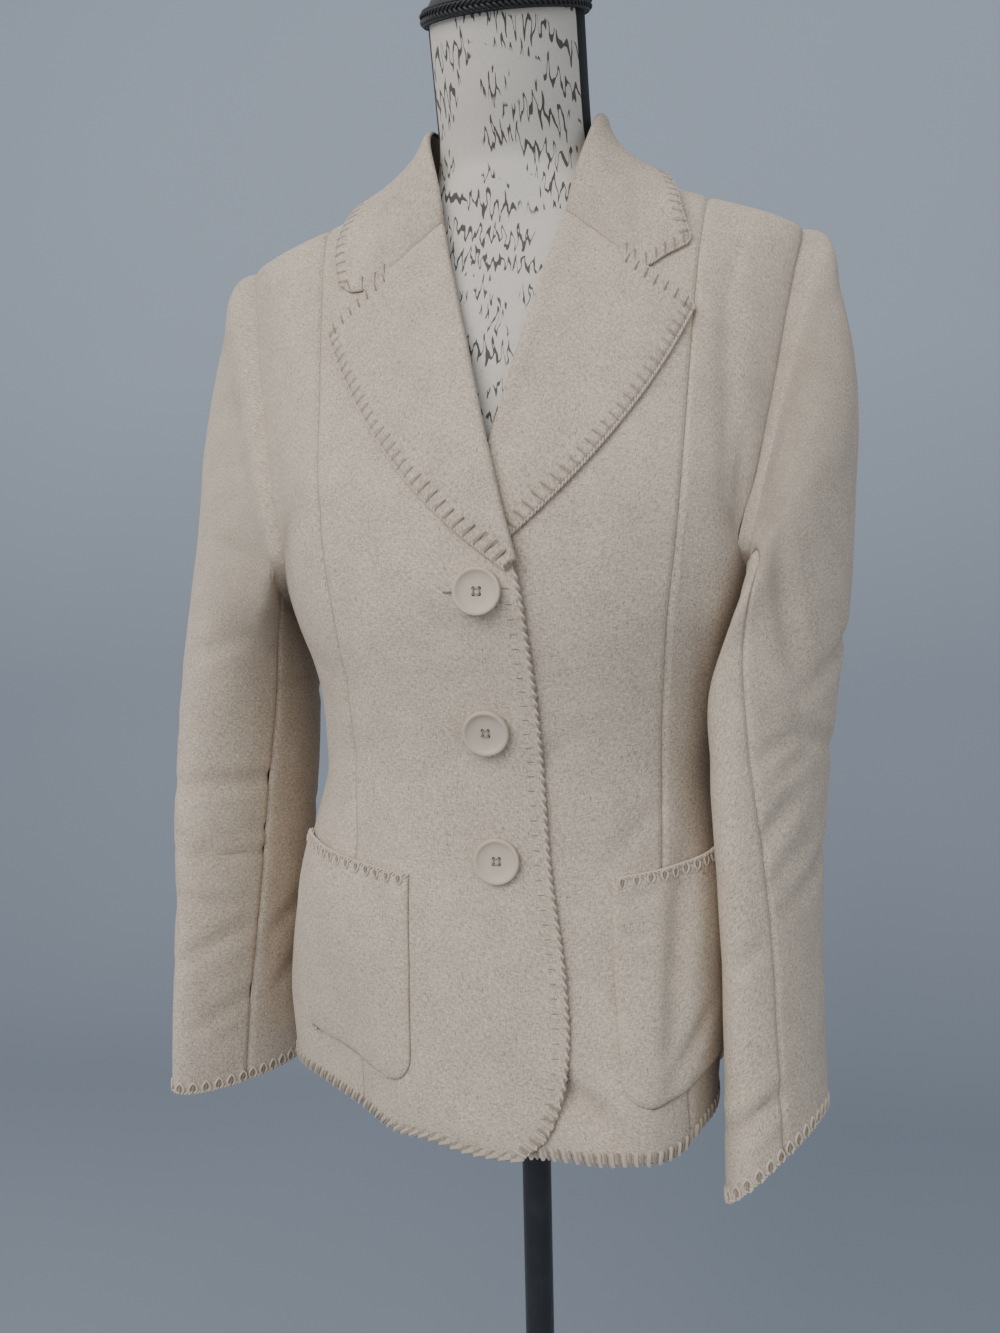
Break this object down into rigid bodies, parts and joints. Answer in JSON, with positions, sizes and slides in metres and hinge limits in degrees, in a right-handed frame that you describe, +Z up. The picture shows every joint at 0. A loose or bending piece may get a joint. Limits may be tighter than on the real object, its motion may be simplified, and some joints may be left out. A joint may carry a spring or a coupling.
{
  "type": "three-button blazer on dress form",
  "caption": "Fitted blazer with notch lapels, princess seams and patch pockets, buttoned on a limbless dress form with a pole and a round base.",
  "frame": {"origin": "centre of the base's underside, on the floor below the pole", "axes": "+Z up along the pole, the blazer's front faces -Y, the wearer's left is +X"},
  "size_m": [0.4864, 0.3165, 1.6136],
  "materials": {
    "cloth": "matte heathered linen and wool weave",
    "button": "satin",
    "cover": "plain woven cover, stretched smooth",
    "trim": "matt",
    "stand": "satin black"
  },
  "bodies": {
    "root": {"front_right": "cloth", "front_left": "cloth", "side_front_right": "cloth", "side_front_left": "cloth", "back_right": "cloth", "back_left": "cloth", "lapel_right": "cloth", "lapel_left": "cloth", "collar": "cloth", "collar_stand": "cloth", "pocket_right": "cloth", "pocket_left": "cloth", "top_sleeve_right": "cloth", "top_sleeve_left": "cloth", "under_sleeve_right": "cloth", "under_sleeve_left": "cloth", "button_top": "button", "button_middle": "button", "button_bottom": "button", "form_torso": "cover", "neck_cap": "trim", "neck_trim": "trim", "pole": "stand", "base": "stand"}
  },
  "joints": []
}
